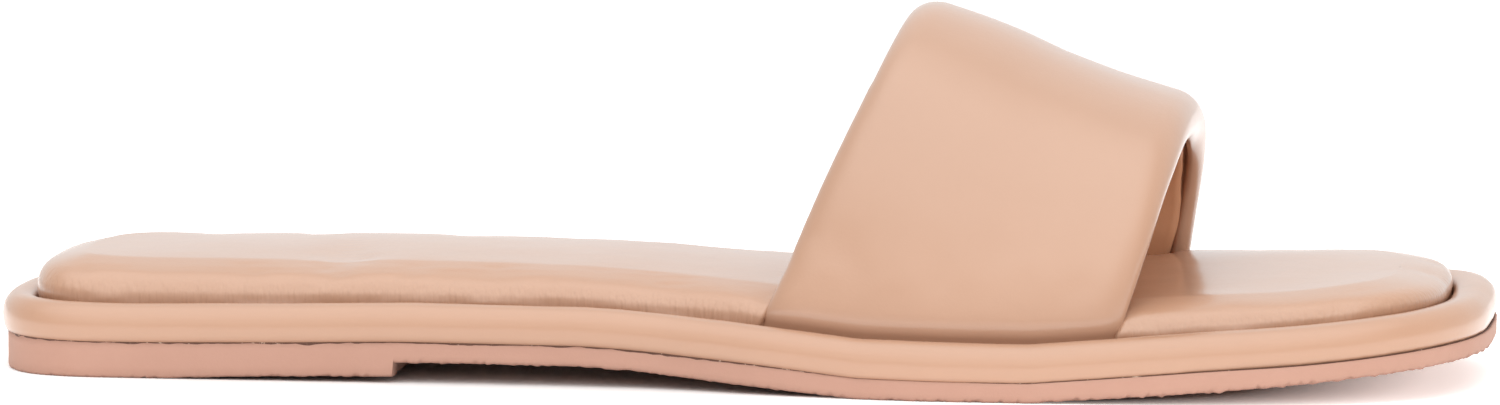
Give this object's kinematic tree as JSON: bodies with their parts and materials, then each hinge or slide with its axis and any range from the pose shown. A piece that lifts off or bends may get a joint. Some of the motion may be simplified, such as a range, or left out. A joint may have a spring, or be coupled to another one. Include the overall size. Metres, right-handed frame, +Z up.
{
  "type": "slide sandal",
  "caption": "Flat slide sandal for the right foot with a padded footbed in a soft rolled rim and one wide padded band over the instep.",
  "frame": {"origin": "on the floor under the middle of the shoe's overall length and width", "axes": "+X from heel to toe, +Y to the medial side where the other foot is, +Z up"},
  "size_m": [0.26, 0.091, 0.064],
  "materials": {
    "outsole_rubber": "matt moulded rubber, pinkish tan",
    "platform_leather": "smooth soft leather, light tan, low sheen",
    "footbed_leather": "smooth soft leather, light tan, low sheen",
    "band_leather": "smooth soft leather, light tan, low sheen"
  },
  "bodies": {
    "root": {"outsole": "outsole_rubber", "wrapped_platform": "platform_leather", "footbed": "footbed_leather", "upper_band": "band_leather"}
  },
  "joints": []
}
